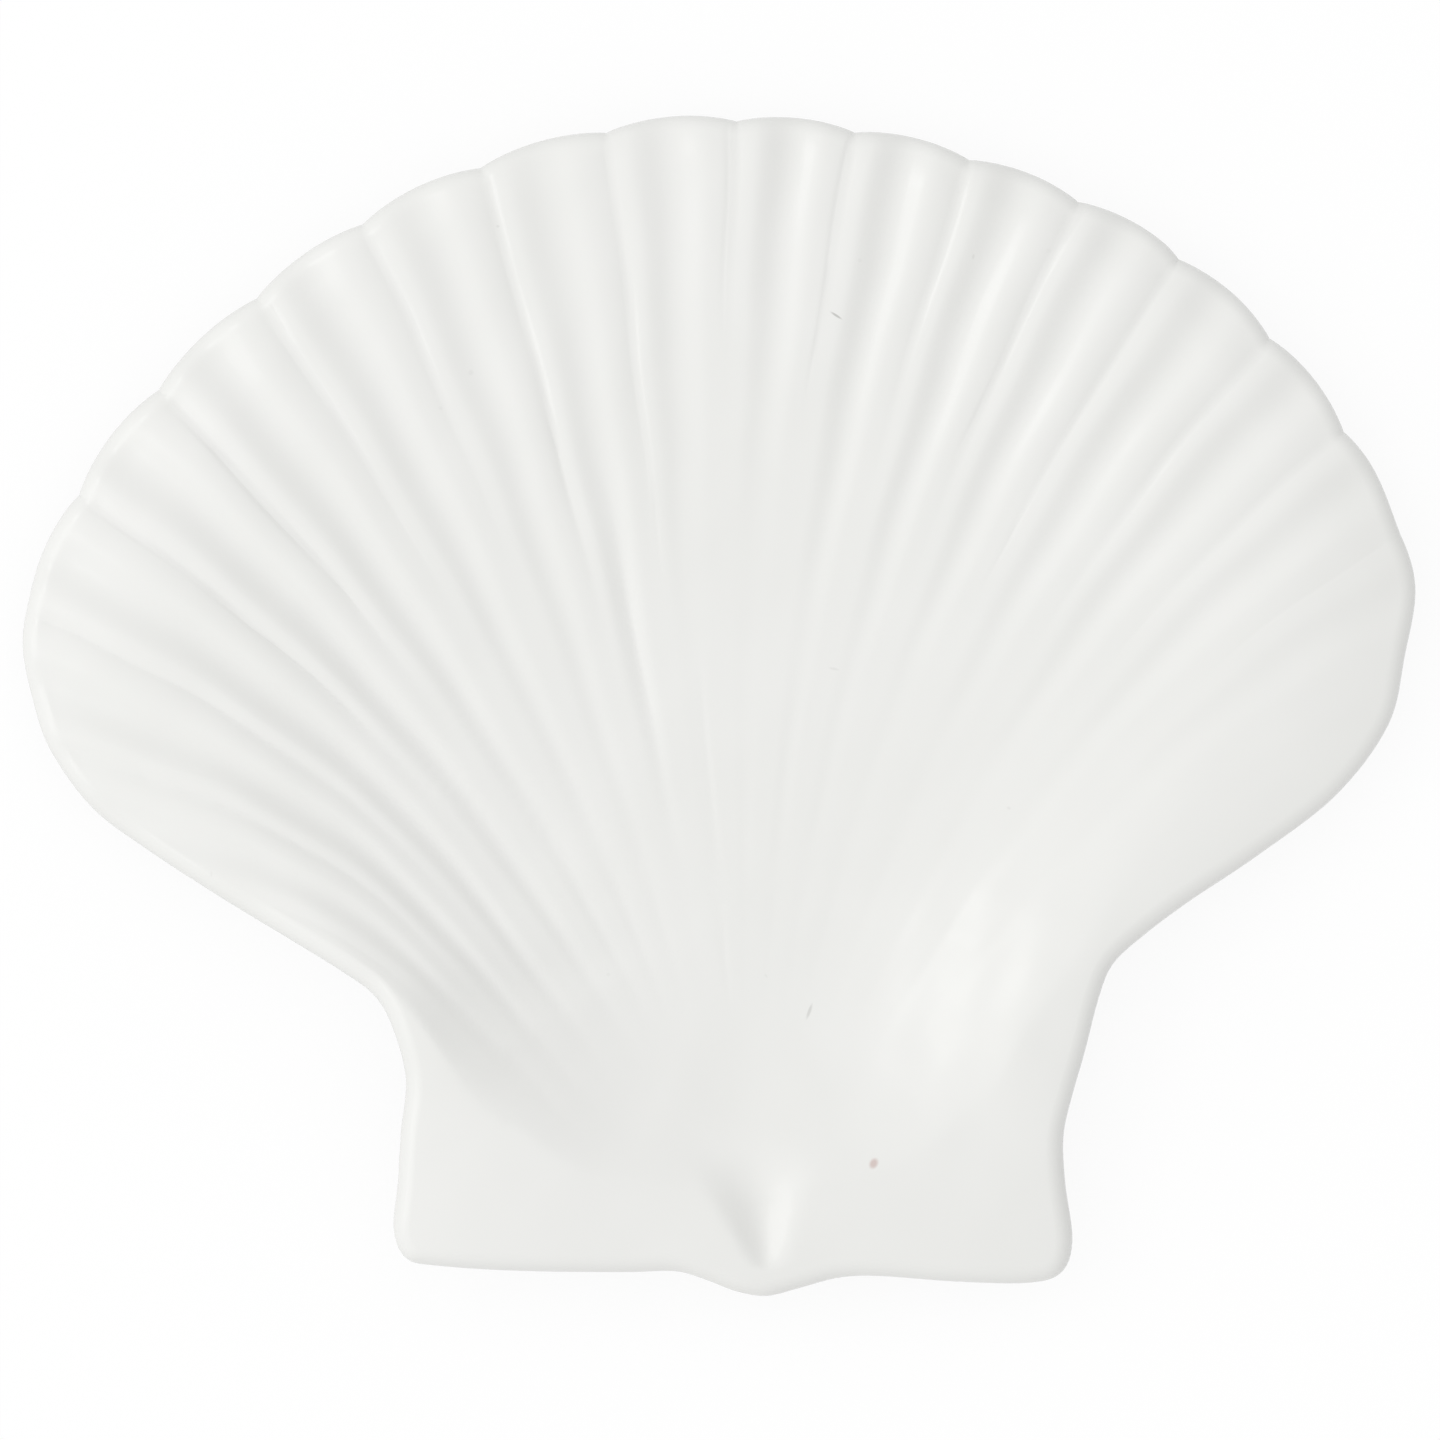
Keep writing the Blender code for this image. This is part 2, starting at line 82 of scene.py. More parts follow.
RIGHT_EDGE = (
    (34.0, -123.1), (50.2, -124.3), (66.0, -124.7), (73.4, -122.5), (75.8, -115.5),
    (74.2, -103.0), (73.8, -93.0), (75.7, -84.3), (78.3, -75.2), (81.4, -63.1),
    (84.4, -56.1), (91.0, -50.0), (100.7, -42.8), (115.2, -33.2), (132.3, -20.2),
    (143.7, -5.1), (147.3, 9.8), (149.6, 25.0), (145.5, 38.3), (138.8, 51.9), (130.7, 64.2),
    (121.3, 75.8), (110.3, 86.7))
# Small departures of the fan edge from its arc, by bearing
FAN_OFFSETS = (
    (-44.0, -0.4), (-34.0, -0.4), (-25.0, -0.8), (-15.0, -0.9), (-5.0, -0.3), (5.0, 0.4),
    (15.0, 0.1), (25.0, -0.2), (35.0, -0.8), (45.0, -0.7), (55.0, 0.1), (70.0, 0.0))

# Sections of the dish: bearing, reach of the floor, distance of the crest from the softened edge,
# rise of the crest over the floor, power with which the climb starts, power with which it ends at
# the crest (the lower, the sharper), and radius at which the face rolls down beyond the crest
DISH_SECTIONS = (
    (0.0, 12.0, 10.0, 9.0, 1.7, 2.0, 27.0),
    (32.0, 16.0, 12.5, 9.0, 1.7, 2.0, 41.0),
    (58.0, 28.0, 22.0, 9.0, 1.8, 2.0, 98.0),
    (71.0, 38.0, 28.0, 8.7, 1.8, 2.0, 167.0),
    (80.0, 36.0, 28.0, 9.7, 2.0, 2.0, 167.0),
    (89.0, 30.0, 22.5, 12.0, 2.2, 1.8, 90.0),
    (98.0, 22.0, 16.0, 15.5, 2.4, 1.5, 40.0),
    (111.0, 18.0, 14.0, 17.5, 2.8, 1.1, 40.0),
    (124.0, 15.0, 19.5, 17.0, 2.4, 1.3, 90.0),
    (140.0, 15.0, 26.0, 16.0, 2.2, 1.4, 200.0),
    (158.0, 15.0, 23.0, 14.0, 2.0, 1.5, 110.0),
    (-180.0, 16.0, 19.0, 12.5, 1.9, 1.6, 90.0),
    (-158.0, 16.0, 26.0, 12.0, 1.9, 1.6, 110.0),
    (-138.0, 16.0, 27.0, 12.0, 2.0, 1.6, 190.0),
    (-122.0, 16.0, 20.0, 13.0, 2.1, 1.6, 70.0),
    (-108.0, 16.0, 14.5, 14.0, 2.2, 1.6, 40.0),
    (-98.0, 16.0, 18.5, 13.8, 2.1, 1.7, 35.0),
    (-86.0, 18.0, 28.0, 11.7, 2.0, 1.8, 110.0),
    (-76.0, 20.0, 31.0, 9.9, 1.8, 1.9, 170.0),
    (-67.0, 20.0, 27.0, 9.3, 1.7, 2.0, 150.0),
    (-57.0, 20.0, 21.0, 9.2, 1.7, 2.0, 100.0),
    (-38.0, 14.0, 13.0, 9.0, 1.7, 2.0, 42.0),
    (-18.0, 12.0, 10.5, 9.0, 1.7, 2.0, 27.0))
# Bearing to either side over which the edge is averaged for the crest
SOFTENING = 18.0

# Flutes, which spring from the beak tip on both sides of a bent middle line. They are numbered
# from the middle line, left of it positive: a groove at each whole number, a lobe between.
BEAK_TIP_Y = -120.2
FLUTE_REACH = 246.6
MIDDLE_LINE = ((-160.0, 14.0), (BEAK_TIP_Y, 9.9), (-96.0, 6.6), (-64.0, 4.1), (-31.0, 2.4),
               (0.0, 1.2), (30.0, 1.2), (60.0, 1.8), (126.0, 3.8), (160.0, 4.2))
PITCH_LEFT = 6.6
PITCH_RIGHT = 6.0
SPREAD_LOSS_LEFT = 0.4
SPREAD_LOSS_RIGHT = 0.38
LOBES_PER_SIDE = 8
# Outer flutes splay out at low reach: the number from which they do, how much wider they then
# stand, the reach at which this begins and the run over which it comes
SPLAY_LEFT = (5.2, 0.5, 0.6, 0.3)
SPLAY_RIGHT = (3.5, 0.09, 1.0, 0.42)
# Flutes beyond a number stand wider at every reach
OUTER_START = 4.0
OUTER_GAIN = 0.045
# Slow wander of the flute lines, as a share of a lobe, and its turn per reach and per number
WANDER = 0.012
WANDER_PER_REACH = 35.0
WANDER_PER_NUMBER = 2.6
# Depth of the channel in the middle of each lobe, and its place and width as shares of the lobe
CHANNEL_DEPTHS = (
    (-8.5, 0.0), (-7.5, 0.5), (-6.5, 1.05), (-5.5, 1.4), (-4.5, 1.55), (-3.5, 1.7), (-2.5, 1.85),
    (-1.5, 2.25), (-0.5, 2.1), (0.5, 1.65), (1.5, 0.95), (2.5, 1.25), (3.5, 1.55), (4.5, 1.8),
    (5.5, 2.1), (6.5, 1.9), (7.5, 1.65), (8.5, 1.0), (9.4, 0.0))
CHANNEL_PLACE = 0.53
CHANNEL_SHARE = 0.61
# Depth of the grooves
GROOVE_DEPTHS = (
    (-8.5, 0.0), (-7.0, 0.25), (-6.0, 0.65), (-5.0, 0.85), (-4.0, 0.9), (-3.0, 1.0), (-2.0, 1.0),
    (0.0, 0.95), (1.0, 0.7), (2.0, 0.9), (4.0, 1.0), (5.0, 1.3), (6.0, 1.15), (8.0, 0.8),
    (9.4, 0.0))
GROOVE_SHARE = 0.2
# Shares of the reach from which the flutes begin and at which they are whole
FLUTE_FADES = (
    (-8.0, 0.45, 0.95), (-5.0, 0.5, 0.88), (-2.5, 0.52, 0.9), (-1.5, 0.53, 1.0),
    (-0.5, 0.6, 1.05), (0.5, 0.55, 1.05), (1.5, 0.33, 0.62), (2.5, 0.42, 0.95),
    (3.5, 0.45, 1.0), (4.5, 0.35, 0.9), (6.0, 0.25, 0.75), (9.0, 0.2, 0.6))
# Faint start of the flutes near the beak: its share of their depth, and where it comes
FLUTE_TAILS = (
    (-8.0, 0.14), (-5.0, 0.1), (-4.0, 0.07), (-2.0, 0.08), (-0.5, 0.03), (0.5, 0.05), (1.5, 0.1),
    (2.5, 0.25), (3.5, 0.3), (5.0, 0.28), (9.0, 0.3))
TAIL_START = 0.18
TAIL_RUN = 0.25
# Fine creases: flute number at the edge, how far it leans inwards, nearest and farthest reach,
# half width and depth
CREASES = (
    (-5.05, 0.0, 0.62, 1.1, 0.9, 0.08), (-4.0, 0.0, 0.64, 1.1, 0.8, 0.12),
    (-3.08, 0.6, 0.72, 1.1, 0.8, 0.14), (-2.05, 0.0, 0.78, 1.1, 0.8, 0.12),
    (-0.95, 0.0, 0.74, 1.1, 0.8, 0.16), (0.07, 0.0, 0.79, 1.1, 0.8, 0.14),
    (0.94, 0.0, 0.57, 0.9, 0.8, 0.12), (1.96, 0.0, 0.72, 1.1, 0.7, 0.16),
    (2.95, 0.0, 0.78, 0.95, 0.7, 0.12), (3.92, 0.3, 0.76, 1.1, 0.7, 0.1),
    (5.05, 0.0, 0.73, 0.98, 0.9, 0.28), (6.03, 0.0, 0.7, 1.0, 0.8, 0.1),
    (7.0, 0.0, 0.7, 1.0, 0.8, 0.05), (1.52, 0.0, 0.43, 0.72, 1.0, 0.2),
    (0.42, 0.0, 0.2, 0.54, 1.3, 0.12))
# Run of reach over which a crease fades at each end, and the power of its flanks
CREASE_END_RUN = 0.08
CREASE_POWER = 1.5
# Softening of the flutes along the edge
MARGIN_RUN = 7.0
MARGIN_GROOVE = 0.35
MARGIN_CHANNEL = 0.75

# Hollow that runs out through the beak
HOLLOW_RUN = 5.0
HOLLOW_FLARE = 0.5
HOLLOW_TIP_HALF = 3.0
HOLLOW_MOUTH = 1.5
HOLLOW_MERGE = (12.0, 30.0)

# Slow unevenness of hand made ware: wave lengths along X and Y, height and phase of each wave
WAVES = (
    (61.0, 83.0, 0.07, 0.4), (-47.0, 58.0, 0.06, 2.1), (29.0, -71.0, 0.035, 4.0),
    (37.0, 23.0, 0.03, 1.3), (-19.0, 31.0, 0.02, 5.2), (23.0, -17.0, 0.014, 3.3),
    (13.0, 19.0, 0.009, 0.9), (-11.0, 14.0, 0.007, 2.7))

# Dents in the right neck: their middle, how far they spread, and their waves in the same order
DENTS_MIDDLE = (57.0, -62.0)
DENTS_SPREAD = 20.0
DENTS = ((13.0, -60.0, 0.1, 0.6), (34.0, 15.0, 0.09, 2.0))

# Middle of the outline's box in the plan, which is the origin of the object
PLAN_MIDDLE = (-0.02, -0.78)
# Pinholes, dust and hairs in the glaze: place, half length, half width, turn and darkness
MARKS = (
    (-47.4, 101.9, 0.55, 0.4, 0.0, 0.12), (-53.2, 70.6, 0.8, 0.8, 0.0, 0.07),
    (-59.7, 62.9, 0.6, 0.6, 0.0, 0.05), (30.2, 94.6, 0.6, 0.6, 0.0, 0.05),
    (54.5, 95.4, 0.8, 0.35, 80.0, 0.12), (70.6, 96.6, 0.8, 0.7, 0.0, 0.04),
    (-23.8, -58.6, 0.6, 0.5, 0.0, 0.06), (10.1, -58.9, 0.7, 0.35, -55.0, 0.06),
    (62.2, -22.8, 0.6, 0.45, -20.0, 0.09), (-108.7, -36.9, 0.8, 0.35, 90.0, 0.07),
    (25.1, 82.8, 1.9, 0.35, -33.0, 0.45), (24.7, 7.1, 1.5, 0.4, -12.0, 0.1),
    (19.4, -66.5, 2.3, 0.5, 70.0, 0.24))
RUST_SPOT = (33.1, -98.8, 1.6, 1.2, 60.0, 0.4)

# Easing of the lower corners of the foot, in millimetres
FOOT_EASE = 0.4

# Fineness of the surfaces
STEPS_IN_LOBE = 28
CROWDING = 0.11
REST_STEPS = 190
TURN_WEIGHT = 14.0
TABLE_STEPS = 40
SOFTENING_STEPS = 9
SEARCH_STEPS = 2001
SEARCH_BEARING = 100.0
SLOPE_STEP = 0.5
TOP_STEPS = 102
ROUND_STEPS = 7
UNDER_STEPS = 20
INNER_STEPS = 8
# Share of the way at which spokes begin to follow the flutes, and the run over which they do
FOLLOW_START = 0.15
FOLLOW_RUN = 0.6
# Part of the sine, in half turns, by which the rings crowd towards the edge
RING_TURN = 0.4
# Angle between faces, in degrees, past which an edge is drawn sharp
SHARP_ANGLE = 50.0

# Scales of the noise in the glaze, and heights in metres between which the foot goes from bare
CLOUD_SCALE = 22.0
RIPPLE_SCALE = 140.0
GRAIN_SCALE = 1300.0
BARE_HEIGHTS = (0.0006, 0.0016)

# Studio: half side of the floor, bearing and angle over the floor of the lamps, their distance,
# the part of the right where the surround is dimmed, and the place of the camera, in metres
FLOOR_HALF_SIDE = 3.0
KEY_AIM = (90.0, 40.0)
WINDOW_AIM = (58.0, 45.0)
LAMP_DISTANCE = 1.5
DARK_SIDE = (0.55, 1.0)
CAMERA_PLACE = (0.00022, -0.00311)
CAMERA_SIGHT = 10.0


def smooth_step(u):
    """Ease from 0 to 1 with a level start and end: three u squared less two u cubed."""
    u = np.clip(u, 0.0, 1.0)
    return u * u * (3.0 - 2.0 * u)


def curve_through(points, steps):
    """Cubic curve through points, with each tangent parallel to its neighbours' chord."""
    points = np.asarray(points, float)
    tangents = np.gradient(points, axis=0)
    t = (np.arange(steps) / steps)[None, :, None]
    start, end = points[:-1, None], points[1:, None]
    leave, arrive = tangents[:-1, None], tangents[1:, None]
    rise = t * t * (3.0 - 2.0 * t)
    dense = (1.0 - rise) * start + rise * end
    dense += t * (1.0 - t) ** 2 * leave - t * t * (1.0 - t) * arrive
    return np.vstack([dense.reshape(-1, points.shape[1]), points[-1:]])


def value_along(stations, x):
    """Smooth values at x from a list of stations, each a place followed by its values."""
    dense = curve_through(stations, TABLE_STEPS)
    values = [np.interp(x, dense[:, 0], column) for column in dense[:, 1:].T]
    return values[0] if len(values) == 1 else values


def polar(x, y):
    """Bearing and reach of a plan point from the dish centre."""
    across = x - DISH_CENTRE[0]
    ahead = y - DISH_CENTRE[1]
    return np.degrees(np.arctan2(-across, ahead)), np.hypot(across, ahead)


def plan_point(bearing, reach):
    """Plan point at a bearing and reach from the dish centre."""
    angle = np.radians(bearing)
    return DISH_CENTRE[0] - reach * np.sin(angle), DISH_CENTRE[1] + reach * np.cos(angle)


def flute_spread(angle, reach):
    """Angle between flutes at a reach: it shrinks towards the beak."""
    left = angle > 0.0
    loss = np.where(left, SPREAD_LOSS_LEFT, SPREAD_LOSS_RIGHT)
    return np.where(left, PITCH_LEFT, PITCH_RIGHT) * (1.0 - loss * (1.0 - reach))


def splay(number, reach):
    """Number beyond which the flutes of a side splay out, and how many times wider they stand."""
    sides = zip(SPLAY_LEFT, SPLAY_RIGHT)
    start, gain, begins, run = (np.where(number > 0.0, left, right) for left, right in sides)
    return start, 1.0 + gain * np.square(np.clip(begins - reach, 0.0, None) / run)


def flute_length(angle):
    """Full reach at an angle off the middle line."""
    return FLUTE_REACH * np.sqrt(np.clip(np.cos(angle), 0.1, 1.0))


def flute_place(x, y):
    """Flute number and share of the full reach at a plan point.

    The number is the angle at the beak tip, off the middle line, over the spread there.
    """
    ahead = y - BEAK_TIP_Y
    across = x - value_along(MIDDLE_LINE, y)
    angle = np.arctan2(-across, ahead)
    reach = np.hypot(across, ahead) / flute_length(angle)
    splayed = np.degrees(angle) / flute_spread(angle, reach)
    start, wider = splay(splayed, reach)
    beyond = np.clip(np.abs(splayed) - start, 0.0, None)
    number = splayed - np.sign(splayed) * beyond * (1.0 - 1.0 / wider)
    outer = np.clip(np.abs(number) - OUTER_START, 0.0, None)
    return number - np.sign(number) * outer * OUTER_GAIN / (1.0 + OUTER_GAIN), reach


def flute_point(number, reach):
    """Plan point on a flute line: the reverse of flute_place."""
    outer = np.clip(np.abs(number) - OUTER_START, 0.0, None)
    number = number + np.sign(number) * outer * OUTER_GAIN
    start, wider = splay(number, reach)
    beyond = np.clip(np.abs(number) - start, 0.0, None)
    splayed = number + np.sign(number) * beyond * (wider - 1.0)
    angle = np.radians(splayed * flute_spread(number, reach))
    distance = reach * flute_length(angle)
    y = BEAK_TIP_Y + distance * np.cos(angle)
    return value_along(MIDDLE_LINE, y) - distance * np.sin(angle), y


def crease_depth(number, reach):
    """Depth of the creases: off each one's line it falls from its depth to 0 at its half width."""
    total = np.zeros_like(number)
    lobe_width = np.radians(flute_spread(number, reach)) * reach * FLUTE_REACH
    for line, lean, nearest, farthest, half_width, depth in CREASES:
        off = np.abs(number - line - lean * (1.0 - reach)) * lobe_width
        begins = smooth_step((reach - nearest) / CREASE_END_RUN)
        ends = begins * smooth_step((farthest - reach) / CREASE_END_RUN)
        total += depth * ends * np.clip(1.0 - off / half_width, 0.0, 1.0) ** CREASE_POWER
    return total


def waves(x, y, rows):
    """A sum of sines, each along its own slanting direction."""
    total = np.zeros_like(x)
    for length_x, length_y, height, phase in rows:
        total += height * np.sin(2.0 * np.pi * (x / length_x + y / length_y) + phase)
    return total


def unevenness(x, y):
    """Slow waves over the upper face, and shorter ones that fade by a bell curve off the neck."""
    off = np.hypot(x - DENTS_MIDDLE[0], y - DENTS_MIDDLE[1]) / DENTS_SPREAD
    return waves(x, y, WAVES) + waves(x, y, DENTS) * np.exp(-0.5 * off ** 2)


class ShellForm:
    """Plan and heights of the shell, in millimetres, from the sizes in the sidebar."""

    def __init__(self, sizes):
        self.wall = sizes.wall / MM
        self.foot_height = sizes.foot_height / MM
        self.foot_width = sizes.foot_width / MM
        self.foot_draft = sizes.foot_draft / MM
        self.foot_half = (sizes.foot_across / MM / 2.0, sizes.foot_along / MM / 2.0)
        self.foot_middle = (DISH_CENTRE[0], DISH_CENTRE[1] + sizes.foot_forward / MM)
        self.fan_radius = sizes.fan_radius / MM
        self.lobe_rise = sizes.lobe_rise / MM
        self.edge_radius = sizes.edge_radius / MM
        self.flute_share = sizes.flute_share
        self.hollow_depth = sizes.hollow_depth / MM
        self.edge_bearings, self.edge_reaches = self.edge_table()

    def edge_table(self):
        """Bearings and reaches all round the edge, without the lobes, as two rising arrays."""
        arc = np.linspace(FAN_RIGHT_BEARING, FAN_LEFT_BEARING, 3 * TABLE_STEPS)
        fan = np.column_stack(plan_point(arc, self.fan_radius + value_along(FAN_OFFSETS, arc)))
        edge = np.vstack([fan[-2:], LEFT_EDGE, BEAK_EDGE, RIGHT_EDGE, fan[:2]])
        rest = curve_through(edge, TABLE_STEPS)[TABLE_STEPS:-TABLE_STEPS]
        bearing, reach = polar(*np.vstack([fan, rest]).T)
        order = np.argsort(bearing)
        return bearing[order], reach[order]

    def plain_edge(self, bearing):
        """Reach of the edge at a bearing, without the lobes."""
        return np.interp(bearing, self.edge_bearings, self.edge_reaches, period=360.0)

    def soft_edge(self, bearing):
        """Reach of the edge averaged over a few degrees, which the crest follows."""
        offsets = np.linspace(-SOFTENING, SOFTENING, SOFTENING_STEPS)
        return sum(self.plain_edge(bearing + offset) for offset in offsets) / len(offsets)

    def flute_depth(self, x, y):
        """Depth of the flutes: a raised cosine channel in each lobe, a narrow groove between.

        Both grow by an eased step along the reach and ease off at the edge. Before that step a
        share of the channel is there as a faint tail. The flute number is first moved by a sine.
        """
        number, reach = flute_place(x, y)
        wander = np.sin(WANDER_PER_REACH * reach + WANDER_PER_NUMBER * number)
        number = number + WANDER * wander
        part = number - np.floor(number)
        off_middle = np.clip(np.abs(part - CHANNEL_PLACE) / CHANNEL_SHARE, 0.0, 0.5)
        channel = 0.5 + 0.5 * np.cos(2.0 * np.pi * off_middle)
        groove = np.clip(1.0 - np.minimum(part, 1.0 - part) / GROOVE_SHARE, 0.0, 1.0) ** 2
        begins, whole = (np.interp(number, *np.transpose(FLUTE_FADES)[[0, i]]) for i in (1, 2))
        near = smooth_step((reach - begins) / (whole - begins))
        tail = (1.0 - near) * smooth_step((reach - TAIL_START) / TAIL_RUN)
        tail *= np.interp(number, *np.transpose(FLUTE_TAILS))
        bearing, dish_reach = polar(x, y)
        inside = smooth_step((self.plain_edge(bearing) - dish_reach) / MARGIN_RUN)
        channel *= np.interp(number, *np.transpose(CHANNEL_DEPTHS)) * (near + tail)
        channel *= MARGIN_CHANNEL + (1.0 - MARGIN_CHANNEL) * inside
        groove *= np.interp(number, *np.transpose(GROOVE_DEPTHS)) * near ** 3
        groove *= MARGIN_GROOVE + (1.0 - MARGIN_GROOVE) * inside
        return self.flute_share * (channel + groove + crease_depth(number, reach))

    def beak_hollow(self, x, y):
        """Depth of the hollow in the beak, whose width and depth grow from the tip inwards."""
        ahead = np.clip(y - BEAK_TIP_Y + HOLLOW_MOUTH, 0.0, None)
        half_width = HOLLOW_TIP_HALF + HOLLOW_FLARE * ahead
        across = np.clip(np.abs(x - value_along(MIDDLE_LINE, y)) / half_width, 0.0, 1.0)
        depth = self.hollow_depth * (1.0 - np.exp(-ahead / HOLLOW_RUN))
        start, end = HOLLOW_MERGE
        merge = 1.0 - smooth_step((ahead - start) / (end - start))
        return depth * merge * (0.5 + 0.5 * np.cos(np.pi * across))

    def dish_height(self, x, y):
        """Height of the dish over the table, without flutes.

        With w the share of the way from the floor to the crest, the climb is one less the end
        power of (one less the start power of w). Past the crest the face drops by the square of
        the distance over twice the roll radius. The hollow in the beak is taken off.
        """
        bearing, reach = polar(x, y)
        rows = sorted(DISH_SECTIONS)
        before = [(row[0] - 360.0,) + row[1:] for row in rows[-3:]]
        after = [(row[0] + 360.0,) + row[1:] for row in rows[:3]]
        floor, setback, rise, starts, ends, roll = value_along(before + rows + after, bearing)
        crest = self.soft_edge(bearing) - setback
        way = np.clip((reach - floor) / (crest - floor), 0.0, 1.0)
        climb = 1.0 - (1.0 - way ** starts) ** ends
        beyond = np.clip(reach - crest, 0.0, None)
        top = self.foot_height + self.wall + rise * climb - beyond ** 2 / (2.0 * roll)
        return top - self.beak_hollow(x, y)

    def slopes(self, x, y):
        """Slopes of the dish along X and Y, from the heights a small step to either side."""
        step = SLOPE_STEP
        along_x = self.dish_height(x + step, y) - self.dish_height(x - step, y)
        along_y = self.dish_height(x, y + step) - self.dish_height(x, y - step)
        return along_x / (2.0 * step), along_y / (2.0 * step)

    def under_height(self, x, y):
        """Height of the underside: one wall below the dish, measured square to it."""
        along_x, along_y = self.slopes(x, y)
        return self.dish_height(x, y) - self.wall * np.sqrt(1.0 + along_x ** 2 + along_y ** 2)

    def lobed_edge(self, bearing):
        """Plan points of the edge, with a lobe bulging between each two grooves."""
        reach = self.plain_edge(bearing)
        number, _ = flute_place(*plan_point(bearing, reach))
        on_fan = smooth_step(LOBES_PER_SIDE - LOBE_FADE - np.abs(number))
        lobe = np.abs(np.sin(np.pi * number)) ** LOBE_ROUNDNESS
        return plan_point(bearing, reach + self.lobe_rise * on_fan * (lobe - 0.5))

    def spoke_bearings(self):
        """Bearings of the spokes: steps in each lobe that crowd at its ends, then even ones."""
        bearing = np.linspace(-SEARCH_BEARING, SEARCH_BEARING, SEARCH_STEPS)
        number, _ = flute_place(*plan_point(bearing, self.plain_edge(bearing)))
        ends = LOBES_PER_SIDE
        wanted = np.linspace(-ends, ends, 2 * ends * STEPS_IN_LOBE + 1)
        wanted -= CROWDING * np.sin(2.0 * np.pi * wanted)
        fan = np.interp(wanted, number, bearing)
        rest = np.linspace(fan[-1], fan[0] + 360.0, SEARCH_STEPS)
        x, y = plan_point(rest, self.plain_edge(rest))
        heading = np.unwrap(np.arctan2(np.diff(y), np.diff(x)))
        turning = np.abs(np.diff(heading, prepend=heading[0]))
        along = np.append(0.0, np.cumsum(np.hypot(np.diff(x), np.diff(y)) + TURN_WEIGHT * turning))
        even = np.linspace(0.0, along[-1], REST_STEPS + 1)[1:-1]
        return np.append(fan, np.interp(even, along, rest))

    def edge_frame(self, bearing):
        """Outward direction in plan, and outward and upward parts of the normal, at the edge."""
        x, y = self.lobed_edge(bearing)
        ahead_x = np.roll(x, -1) - np.roll(x, 1)
        ahead_y = np.roll(y, -1) - np.roll(y, 1)
        length = np.hypot(ahead_x, ahead_y)
        out_x, out_y = ahead_y / length, -ahead_x / length
        along_x, along_y = self.slopes(x, y)
        fall = -(along_x * out_x + along_y * out_y)
        size = np.sqrt(1.0 + fall ** 2)
        return x, y, out_x, out_y, fall / size, 1.0 / size

    def top_rings(self, rim_x, rim_y):
        """Rings of the upper face from the dish centre out, on spokes that follow the flutes.

        A ring's share of the way is a sine of its count, so that rings crowd at the edge. Each
        point goes over from a straight spoke to its flute line on the way out.
        """
        number, reach = flute_place(rim_x, rim_y)
        _, centre_reach = flute_place(np.array(DISH_CENTRE[0]), np.array(DISH_CENTRE[1]))
        on_fan = smooth_step((LOBES_PER_SIDE + 0.5 - np.abs(number)) / 2.0)
        turn = RING_TURN * np.pi
        share = (np.sin(turn * np.arange(1, TOP_STEPS + 1) / TOP_STEPS) / np.sin(turn))[:, None]
        straight_x = DISH_CENTRE[0] + share * (rim_x - DISH_CENTRE[0])
        straight_y = DISH_CENTRE[1] + share * (rim_y - DISH_CENTRE[1])
        flute_x, flute_y = flute_point(number, centre_reach + (reach - centre_reach) * share)
        follow = on_fan * smooth_step((share - FOLLOW_START) / FOLLOW_RUN)
        x = straight_x + follow * (flute_x - straight_x)
        y = straight_y + follow * (flute_y - straight_y)
        height = self.dish_height(x, y) - self.flute_depth(x, y) + unevenness(x, y)
        return np.stack([x, y, height], axis=-1)

    def round_profile(self, out, up):
        """Outward and upward offsets from the upper face's edge, in two quarter turns.

        The first, of the larger radius, starts along the surface normal; the second ends on the
        underside, one wall below.
        """
        turn = (np.pi * np.arange(1, 2 * ROUND_STEPS + 1) / (2 * ROUND_STEPS))[:, None]
        under = turn > np.pi / 2.0
        radius = np.where(under, self.wall - self.edge_radius, self.edge_radius)
        shift = np.where(under, 2.0 * self.edge_radius - self.wall, 0.0)
        along = radius * np.sin(turn) + shift
        back = self.edge_radius - radius * np.cos(turn)
        return along * up - back * out, -along * out - back * up, 0.5 + 0.5 * np.cos(turn)

    def foot_oval(self, bearing, inset):
        """Plan points of the foot's oval, drawn in by an inset."""
        angle = np.radians(bearing)
        x = self.foot_middle[0] - (self.foot_half[0] - inset) * np.sin(angle)
        y = self.foot_middle[1] + (self.foot_half[1] - inset) * np.cos(angle)
        return x, y

    def underside_rings(self, bearing, last):
        """Rings of the underside from the edge in to the foot, round it and on to its middle."""
        share = (np.arange(1, UNDER_STEPS + 1) / UNDER_STEPS)[:, None]
        foot_x, foot_y = self.foot_oval(bearing, 0.0)
        x = last[:, 0] + share * (foot_x - last[:, 0])
        y = last[:, 1] + share * (foot_y - last[:, 1])
        outside = np.stack([x, y, self.under_height(x, y)], axis=-1)
        foot = [self.foot_ring(bearing, inset, height) for inset, height in self.foot_profile()]
        share = (1.0 - np.arange(INNER_STEPS) / INNER_STEPS)[:, None]
        inner_x, inner_y = self.foot_oval(bearing, self.foot_width)
        x = self.foot_middle[0] + share * (inner_x - self.foot_middle[0])
        y = self.foot_middle[1] + share * (inner_y - self.foot_middle[1])
        inside = np.stack([x, y, self.under_height(x, y)], axis=-1)
        return np.concatenate([outside, foot, inside])

    def foot_profile(self):
        """Insets and heights over the table round the foot, with its lower corners eased."""
        draft, width, ease = self.foot_draft, self.foot_width, FOOT_EASE
        side = ((0.45 * draft, ease * 2.2), (0.75 * draft, ease), (draft + 0.1, 0.3 * ease),
                (draft + ease, 0.0))
        return side + tuple((width - inset, height) for inset, height in reversed(side))

    def foot_ring(self, bearing, inset, height):
        """One ring round the foot at an inset and a height over the table."""
        x, y = self.foot_oval(bearing, inset)
        return np.stack([x, y, np.full_like(x, height)], axis=-1)

